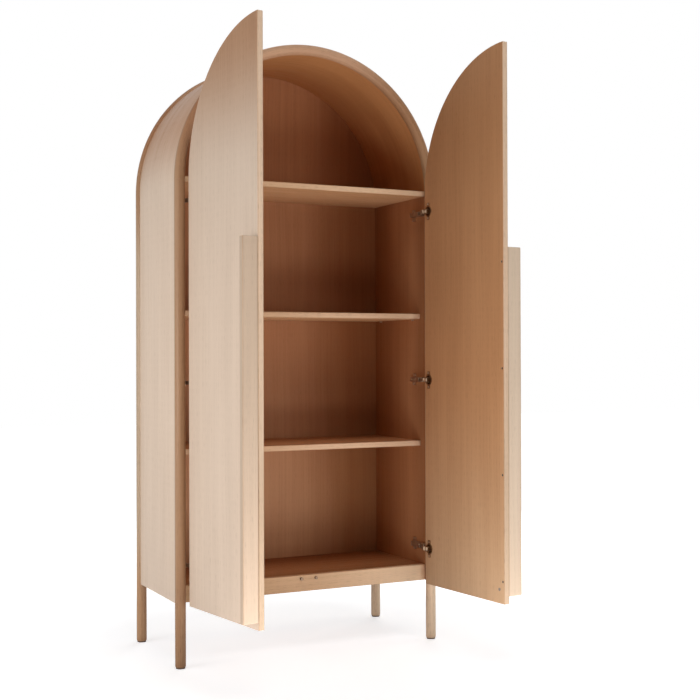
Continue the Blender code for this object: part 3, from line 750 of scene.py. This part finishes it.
def hung(piece, side):
    """Carries a piece from the bench to its door: its width, height and thickness go along the door's own
    ways. One door's ways are a mirror image, and there the faces are turned round."""
    origin, *ways = door_frames[side]
    place = np.eye(4)
    place[:3, :3] = np.array(ways).T
    place[:3, 3] = origin
    piece.data.transform(Matrix(place.tolist()))
    if np.linalg.det(place) < 0:
        piece.data.flip_normals()


# Painted shade: the outside darkens towards the top, the edges towards the bottom, and the inside upwards
# from the floor and again at the top.
veneer_painted_shade = [(2, 1.55, 2.0, (0.69, 0.475, 0.325))]
oak_veneer = oak_finish("oak_veneer", (0.705, 0.555, 0.432), (0.592, 0.45, 0.34), veneer_painted_shade, **show_grain)
edge_painted_shade = [(2, 1.30, 0.50, (0.77, 0.765, 0.75))]
oak_edge = oak_finish("oak_edge", (0.93, 0.685, 0.49), (0.82, 0.575, 0.39), edge_painted_shade, gloss=0.15)
door_painted_shade = [(2, 0.12, 1.0, (0.985, 0.795, 0.643)), (2, 1.5, 1.9, (0.93, 0.89, 0.86))]
door_grain = {"figure": 0.8, "streaks": 0.35, "pores": 0.35, "gloss": 0.15}
oak_door = oak_finish(
    "oak_door_inside", (0.63, 0.412, 0.245), (0.516, 0.318, 0.178), door_painted_shade, **door_grain
)
faces = [oak_veneer, oak_edge, oak_door]
bench = ((0, 0, 0), (1, 0, 0), (0, 1, 0), (0, 0, 1))
cup_sunk, cup_bore_r = 0.0115, 0.0175
head_sunk, head_bore_r = 0.0036, 0.0043
door_corner, door_ease, over_face = 0.0024, 0.0014, 0.01
for side, leaf_place in (("left", 17.0), ("right", 20.0)):
    node = f"door_{side}"
    low, high = on_door(node, side)
    door_r = high[0]
    bends = np.linspace(0.0, math.acos(low[0] / door_r), 73)
    corner = square_outline(low, high, 0, 1, door_corner)
    arch = np.stack([door_r * np.cos(bends), spring_z + door_r * np.sin(bends)], axis=1)[:-1]
    outline = np.concatenate([corner[:10], arch, corner[-5:]])
    door = board(f"{node}_veneered", outline, low[2], high[2], bench, door_ease, faces, 1, leaf_place)
    plugs = []
    for fitting in nodes_named(f"hinge_cup_{side}", f"fin_screw_{side}"):
        fit_low, fit_high = on_door(fitting, side)
        middle = (fit_low + fit_high) / 2
        sunk, bore_r = (cup_sunk, cup_bore_r) if fitting.startswith("hinge_cup") else (head_sunk, head_bore_r)
        profile = [(bore_r, -sunk), (bore_r, over_face)]
        start = (middle[0], middle[1], high[2])
        plugs.append(turned(f"{fitting}_plug", profile, start, (0, 0, 1), oak_edge))
    bored(door, plugs)
    hung(door, side)
    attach(door, f"{side}_door")
    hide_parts(node)


# Fins.
# Handles of solid oak that stand out from the doors along their free edges, over the middle of their height.
# Each is a flat bar with eased edges, screwed on from the inside of the door.
# Painted shade: the left fin is a little darker, and the outer end of each fin is a darker copy of its oak.
fin_painted_shade = [(0, 0.10, -0.10, (0.94, 0.905, 0.885))]
oak_fin = oak_finish("oak_fin", (0.82, 0.64, 0.48), (0.70, 0.53, 0.385), fin_painted_shade, streaks=0.35, pores=0.3)
oak_fin_end_shaded = oak_finish("oak_fin_end_painted_shade", (0.56, 0.42, 0.31), (0.46, 0.335, 0.24), streaks=0.35, pores=0.3)
faces = [oak_fin_end_shaded, oak_fin, oak_fin]
fin_corner, fin_ease = 0.0030, 0.0018
for side, leaf_place in (("left", 23.0), ("right", 24.0)):
    node = f"fin_{side}"
    low, high = on_door(node, side)
    outline = square_outline(low, high, 0, 1, fin_corner)
    fin = board(f"{node}_bar", outline, low[2], high[2], door_frames[side], fin_ease, faces, 1, leaf_place)
    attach(fin, f"{side}_door")
    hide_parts(node)


# Fin screws.
# Dark plated wood screws, four to a fin, with flat heads that lie a millimetre below the door's inner face.
# Each head has a cross recess, and its shank runs through the door into the fin.
dark_steel = steel_finish("dark_screw_steel", (0.16, 0.13, 0.11), (0.09, 0.07, 0.06), 0.35)


def cross_headed(name, at, facing, radius, rise, depth, spin, finish, shank=()):
    """A screw with a cross recess. Its head falls by half of rise from the middle to the rim with the square
    of the radius. The recess is two slots across each other, a quarter of the radius wide and reaching two
    thirds of it, whose walls lean over a tenth of the radius. shank gives more rings below the head."""
    slot_reach, slot_half, slot_lean, rim_t = 0.66 * radius, 0.18 * radius, 0.1 * radius, 0.0003
    shares = np.r_[1.0, 0.96, 0.88, np.linspace(0.80, 0.04, 16)]
    x = radius * shares[:, None] * np.cos(ring_turns + spin)
    y = radius * shares[:, None] * np.sin(ring_turns + spin)

    def slot(along, aside):
        within = np.clip((slot_reach - np.abs(along)) / slot_lean, 0, 1)
        return within * np.clip((slot_half - np.abs(aside)) / slot_lean, 0, 1)

    dome = rise * (1 - 0.5 * shares**2)[:, None] - depth * np.maximum(slot(x, y), slot(y, x))
    below = np.array([*shank, (radius, -rim_t)])
    radii = np.r_[below[:, 0], radius * shares]
    heights = np.concatenate([np.repeat(below[:, 1:], len(ring_turns), axis=1), dome])
    rings = rings_about(at, facing, radii, heights, ring_turns)
    uv = np.zeros((len(radii), len(round_turns), 2))
    return skin(name, rings, strips(uv), uv[[0, -1], :-1], [finish])


tip_r, tip_h, shank_r, head_h, rim_h, recess = 0.0004, 0.004, 0.00225, 0.0025, 0.0006, 0.0016
for side in ("left", "right"):
    facing = door_frames[side][3]
    for name in nodes_named(f"fin_screw_{side}"):
        low, high = on_door(name, side)
        middle = (low + high) / 2
        head_r = (high[0] - low[0]) / 2
        length = high[2] - low[2]
        below = ((tip_r, -length), (shank_r, tip_h - length), (shank_r, -head_h), (head_r, rim_h - head_h))
        top = at_door((middle[0], middle[1], high[2]), side)
        spin = 9.0 * middle[1]
        screw = cross_headed(f"{name}_turned", top, facing, head_r, 0.0, recess, spin, dark_steel, below)
        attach(screw, f"{side}_door")
        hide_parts(name)


# Hinge cups.
# Pressed steel cups, nickel plated, let into 35 mm bores in the doors, three to a door.
# Each has a flange on the inner face of its door, held by a screw above and one below.


def broken_edges(node, finish, width):
    """A CAD fitting kept as it is and given its finish, with its edges broken by a narrow round."""
    fitting = frame["nodes"][node]
    for held in fitting.material_slots:
        held.material = finish
    same_point = 0.00002
    joined = fitting.modifiers.new("joined", "WELD")
    joined.merge_threshold = same_point
    broken = fitting.modifiers.new("broken_edges", "BEVEL")
    broken.width = width
    broken.segments = 2
    broken.limit_method = "ANGLE"
    broken.angle_limit = sharp_edge


# The cups are coloured dark brown for painted shade in their bores.
cup_steel = steel_finish("hinge_cup_steel", (0.38, 0.22, 0.115), (0.27, 0.155, 0.078), 0.42)
cup_edge, flange_t, screw_inset = 0.0004, 0.0015, 0.0058
head_r, head_rise, recess = 0.0036, 0.0011, 0.0008
for side in ("left", "right"):
    facing = door_frames[side][3]
    flange_face = on_door(f"door_{side}", side)[1][2] + flange_t
    for name in nodes_named(f"hinge_cup_{side}"):
        broken_edges(name, cup_steel, cup_edge)
        low, high = on_door(name, side)
        middle = (low + high) / 2
        for end, upward in (("upper", 1), ("lower", -1)):
            place = (middle[0], middle[1] + upward * ((high[1] - low[1]) / 2 - screw_inset), flange_face)
            start = at_door(place, side)
            spin = 7.0 * place[1]
            screw = cross_headed(
                f"{name}_screw_{end}", start, facing, head_r, head_rise, recess, spin, nickel_steel
            )
            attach(screw, f"{side}_door")


# Hinge arms.
# Nickel plated arms on the side panels: a wing plate with two screws, a bar with two adjusting screws and a
# forked end with the pin of the link.
arm_edge, wing_t, recess_share = 0.0005, 0.0035, 0.75
# Each screw: its name, wing or bar, distance from the rear end, height, and radius and rise of its head.
arm_screws = (
    ("wing_upper", "wing", 0.010, 0.0148, 0.0038, 0.0012),
    ("wing_lower", "wing", 0.010, -0.0148, 0.0038, 0.0012),
    ("depth", "bar", 0.020, 0.0, 0.0042, 0.0008),
    ("reach", "bar", 0.044, 0.0, 0.0034, 0.0008),
)
for side, inward in (("left", 1.0), ("right", -1.0)):
    for name in nodes_named(f"hinge_arm_{side}"):
        broken_edges(name, nickel_steel, arm_edge)
        low, high = extent(name)
        wall, bar_face = (low[0], high[0]) if inward > 0 else (high[0], low[0])
        face_of = {"wing": wall + inward * wing_t, "bar": bar_face}
        for end, part, from_rear, height, head_r, rise in arm_screws:
            place = (face_of[part], high[1] - from_rear, (low[2] + high[2]) / 2 + height)
            spin = 5.0 * place[2] + 30.0 * place[1]
            recess = recess_share * rise
            screw = cross_headed(
                f"{name}_screw_{end}", place, (inward, 0, 0), head_r, rise, recess, spin, nickel_steel
            )
            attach(screw, "carcass")


# Hinge links.
# Cranked bars of bent steel, one to a hinge, that swing on the pin of the arm and reach into the cup.
# The links are coloured brown, a painted reflection of the oak round them.
link_steel = steel_finish("link_steel", (0.47, 0.335, 0.225), (0.34, 0.24, 0.16), 0.40)
link_edge = 0.0004
for name in nodes_named("hinge_link"):
    broken_edges(name, link_steel, link_edge)


# Catches.
# A round magnet in a steel cup stands a little proud of the base rail for each door.
# It holds a steel disc that is pinned to the inner face of the door.
# The magnets are darkened and browned for painted shade.
magnet_steel = steel_finish("magnet_steel", (0.26, 0.18, 0.125), (0.18, 0.12, 0.08), 0.45)
strike_steel = steel_finish("strike_steel", (0.34, 0.29, 0.25), (0.22, 0.19, 0.165), 0.34)
# The front of the magnet as steps in from the rim and down, and the strike's pin hole as radii and depths.
magnet_steps = (
    (0.0, 0.0005), (0.0005, 0.0), (0.0009, 0.0), (0.0010, 0.0006), (0.0014, 0.0006), (0.0015, 0.0001)
)
pin_hole = ((0.0021, 0.0), (0.0018, 0.0002), (0.0016, 0.0008), (0.0003, 0.0009))
inmost_r, sunk, disc_ease = 0.0003, 0.0001, 0.0004
for side in ("left", "right"):
    low, high = extent(f"magnet_{side}")
    cup_r, length = (high[0] - low[0]) / 2, high[1] - low[1]
    profile = [(cup_r, 0.0)] + [(cup_r - step, length - down) for step, down in magnet_steps]
    profile += [(inmost_r, length - sunk)]
    start = ((low[0] + high[0]) / 2, high[1], (low[2] + high[2]) / 2)
    magnet = turned(f"magnet_{side}_cup", profile, start, (0, -1, 0), magnet_steel)
    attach(magnet, "carcass")
    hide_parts(f"magnet_{side}")
    low, high = on_door(f"strike_{side}", side)
    disc_r, thick = (high[0] - low[0]) / 2, high[2] - low[2]
    profile = [(disc_r, 0.0), (disc_r, thick - disc_ease), (disc_r - disc_ease, thick)]
    profile += [(radius, thick - down) for radius, down in pin_hole]
    start = at_door(((low[0] + high[0]) / 2, (low[1] + high[1]) / 2, low[2]), side)
    strike = turned(f"strike_{side}_disc", profile, start, door_frames[side][3], strike_steel)
    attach(strike, f"{side}_door")
    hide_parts(f"strike_{side}")


# Floor.
# A plain matt studio floor, nearly white, that keeps the cabinet's soft shadow.
# Seen by the camera and in reflections it also glows white, less so round the feet.


def seen_share(tree):
    """One for a ray from the camera, off a glossy surface or through glass, and none for any other."""
    path = wired(tree, "ShaderNodeLightPath", {}).outputs
    shown = path["Is Camera Ray"]
    for kind in ("Is Glossy Ray", "Is Transmission Ray"):
        shown = wired(tree, "ShaderNodeMath", {0: shown, 1: path[kind]}, operation="MAXIMUM").outputs[0]
    return shown


floor_half = 14.0
floor_mesh = bpy.data.meshes.new("studio_floor")
floor_corners = floor_half * np.array([(-1, -1, 0), (1, -1, 0), (1, 1, 0), (-1, 1, 0)])
floor_mesh.from_pydata(floor_corners.tolist(), [], [(0, 1, 2, 3)])
floor = bpy.data.objects.new("studio_floor", floor_mesh)
bpy.context.scene.collection.objects.link(floor)
floor_white = bpy.data.materials.new("studio_floor_white")
floor_white.use_nodes = True
tree = floor_white.node_tree
matt = tree.nodes["Principled BSDF"]
matt.inputs["Base Color"].default_value = (0.785, 0.80, 0.83, 1.0)
matt.inputs["Roughness"].default_value = 0.9
matt.inputs["Specular IOR Level"].default_value = 0.0
spot = wired(tree, "ShaderNodeTexCoord", {}).outputs["Object"]
away = wired(tree, "ShaderNodeVectorMath", {0: spot}, operation="LENGTH").outputs["Value"]
levels = {"Value": away, "From Min": 0.75, "From Max": 1.6, "To Min": 0.60}
far = wired(tree, "ShaderNodeMapRange", levels, interpolation_type="SMOOTHSTEP")
seen = {0: far.outputs[0], 1: seen_share(tree)}
share = wired(tree, "ShaderNodeMath", seen, operation="MULTIPLY").outputs[0]
glow = wired(tree, "ShaderNodeEmission", {"Color": (1, 1, 1, 1), "Strength": share})
blend = wired(tree, "ShaderNodeAddShader", {0: matt.outputs[0], 1: glow.outputs[0]})
tree.links.new(blend.outputs[0], tree.nodes["Material Output"].inputs["Surface"])
floor_mesh.materials.append(floor_white)


# Light.
# Nine broad soft lamps: four left and front, one right, two low before the doors, one above, one behind.
# A faint even sky, which is white to the camera and in reflections.
for name, energy, size, place, target, spread in (
    ("light_left", 15.2, (2.2, 1.2), (-2.9, -1.2, 0.95), (-0.2, -0.1, 0.95), 110.0),
    ("light_left_side", 9.3, (2.0, 1.4), (-3.0, 0.2, 1.00), (-0.2, 0.2, 1.00), 110.0),
    ("light_front", 3.0, (2.6, 1.2), (0.0, -4.4, 0.95), (0.0, 0.0, 1.0), 140.0),
    ("light_front_right", 14.2, (1.6, 1.0), (1.9, -4.0, 0.60), (0.0, 0.0, 0.6), 140.0),
    ("light_right", 14.0, (2.0, 1.6), (3.3, 0.5, 1.10), (0.3, 0.1, 1.00), 140.0),
    ("light_from_floor", 21.5, (2.4, 1.2), (0.0, -1.7, 0.03), (0.0, -1.2, 2.0), 170.0),
    ("light_between_doors", 6.6, (1.5, 0.6), (-0.1, -0.70, 0.02), (-0.1, -0.65, 2.0), 180.0),
    ("light_above", 26.4, (2.4, 1.6), (0.0, -1.6, 3.8), (0.0, -0.4, 0.0), 170.0),
    ("light_behind", 50.0, (2.5, 2.0), (2.6, 3.2, 1.4), (0.0, 0.0, 1.0), 140.0),
):
    lamp = bpy.data.lights.new(name, "AREA")
    lamp.shape = "RECTANGLE"
    lamp.size, lamp.size_y = size
    lamp.energy = energy
    lamp.spread = math.radians(spread)
    lamp_stand = bpy.data.objects.new(name, lamp)
    lamp_stand.location = place
    way = np.array(target) - np.array(place)
    lamp_stand.rotation_euler = (
        math.atan2(np.hypot(way[0], way[1]), -way[2]),
        0.0,
        math.atan2(way[1], way[0]) - math.pi / 2,
    )
    lamp_stand.visible_camera = False
    bpy.context.scene.collection.objects.link(lamp_stand)
sky = bpy.data.worlds.new("studio_sky")
bpy.context.scene.world = sky
sky.use_nodes = True
tree = sky.node_tree
faint = tree.nodes["Background"]
faint.inputs["Color"].default_value = (1, 1, 1, 1)
faint.inputs["Strength"].default_value = 0.08
white = wired(tree, "ShaderNodeBackground", {"Color": (1, 1, 1, 1), "Strength": 1.0})
blend = wired(tree, "ShaderNodeMixShader", {0: seen_share(tree), 1: faint.outputs[0], 2: white.outputs[0]})
tree.links.new(blend.outputs[0], tree.nodes["World Output"].inputs["Surface"])


# Camera.
# It stands at chest height in front of the left door, at the distance and angle of the photograph.
# The lens is given for a 36 mm frame; the picture's size is not set here.
sensor = bpy.data.cameras.new("camera")
sensor.sensor_width = 36.0
sensor.lens = 63.822
camera = bpy.data.objects.new("camera", sensor)
yaw, pitch, roll = 0.4623, -0.00505, -0.00307
turn_z = np.array([[math.cos(yaw), math.sin(yaw), 0], [-math.sin(yaw), math.cos(yaw), 0], [0, 0, 1]])
tilt = math.pi / 2 - pitch
turn_x = np.array([[1, 0, 0], [0, math.cos(tilt), -math.sin(tilt)], [0, math.sin(tilt), math.cos(tilt)]])
lean = np.array([[math.cos(roll), -math.sin(roll), 0], [math.sin(roll), math.cos(roll), 0], [0, 0, 1]])
stand = np.eye(4)
stand[:3, :3] = turn_z @ turn_x @ lean
stand[:3, 3] = (-1.78481, -3.80773, 1.00243)
bpy.context.scene.collection.objects.link(camera)
camera.matrix_world = Matrix(stand.tolist())
bpy.context.scene.camera = camera
bpy.context.scene.view_settings.view_transform = "Standard"

bpy.context.view_layer.update()
